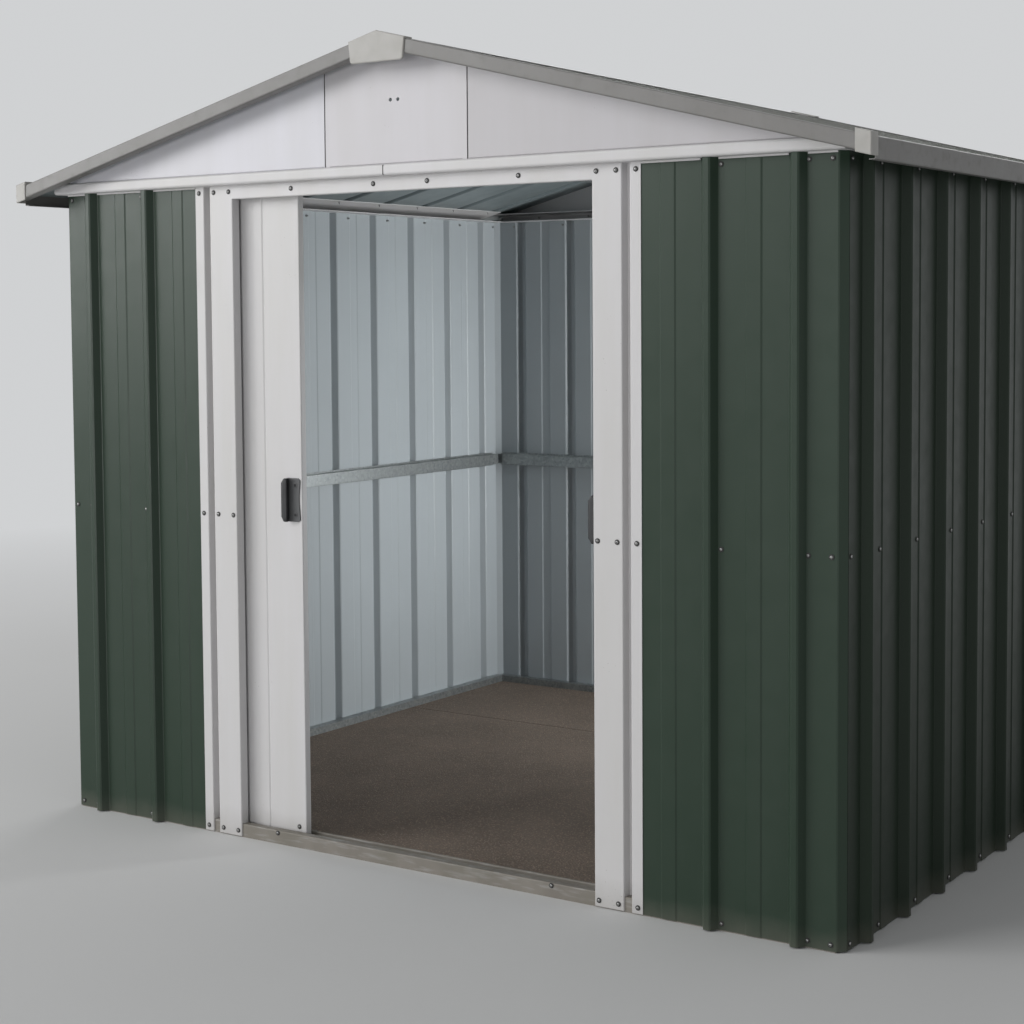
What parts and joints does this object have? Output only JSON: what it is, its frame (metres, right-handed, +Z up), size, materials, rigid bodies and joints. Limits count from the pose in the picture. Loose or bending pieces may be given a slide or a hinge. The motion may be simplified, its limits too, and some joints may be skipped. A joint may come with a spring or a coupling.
{
  "type": "metal storage shed",
  "caption": "Gable-roofed garden storage shed of ribbed steel sheet, with sliding doors in the front wall that open onto a paved floor inside.",
  "frame": {"origin": "centre of the footprint, on the ground", "axes": "+X to the right seen from the front, +Y towards the back, +Z up; the doorway faces -Y"},
  "size_m": [2.442, 2.228, 1.9846],
  "materials": {
    "wall_green": "satin",
    "white": "satin",
    "trim_grey": "satin",
    "roof_sheet": "satin",
    "base_paint": "satin",
    "zinc": "galvanised",
    "aggregate": "rough",
    "cap_plastic": "moulded",
    "handle_plastic": "moulded",
    "nylon": "moulded"
  },
  "bodies": {
    "shell": {"base_rail_front": "base_paint", "base_rail_back": "zinc", "base_rail_left": "zinc", "base_rail_right": "zinc", "floor": "aggregate", "front_wall_left": "wall_green", "front_wall_right": "wall_green", "left_wall": "wall_green", "right_wall": "wall_green", "back_wall": "wall_green", "door_jamb_left": "white", "door_jamb_right": "white", "door_header": "white", "door_track": "zinc", "eave_rail_front": "white", "eave_rail_back": "white", "eave_rail_left": "trim_grey", "eave_rail_right": "trim_grey", "brace_left": "zinc", "brace_right": "zinc", "brace_back": "zinc", "brace_front_left": "zinc", "brace_front_right": "zinc", "gable_front_left": "white", "gable_front_centre": "white", "gable_front_right": "white", "gable_back": "white", "ridge_beam": "zinc", "purlins": "zinc", "roof_left": "roof_sheet", "roof_right": "roof_sheet", "ridge_cap": "trim_grey", "verge_front_left": "trim_grey", "verge_front_right": "trim_grey", "verges_back": "trim_grey", "eave_trim_left": "trim_grey", "eave_trim_right": "trim_grey", "peak_cap_front": "cap_plastic", "peak_cap_back": "cap_plastic", "corner_caps": "cap_plastic"},
    "left_door": {"left_door_leaf": "white", "left_door_stiffeners": "zinc", "left_door_runners": "nylon", "left_door_handle": "handle_plastic"},
    "right_door": {"right_door_leaf": "white", "right_door_stiffeners": "zinc", "right_door_runners": "nylon", "right_door_handle": "handle_plastic"}
  },
  "joints": [
    {"name": "left_door_slide", "type": "slide", "parent": "shell", "child": "left_door", "axis": [1, 0, 0], "range_m": [-0.122, 0.334]},
    {"name": "right_door_slide", "type": "slide", "parent": "shell", "child": "right_door", "axis": [1, 0, 0], "range_m": [-0.505, 0.002]}
  ]
}
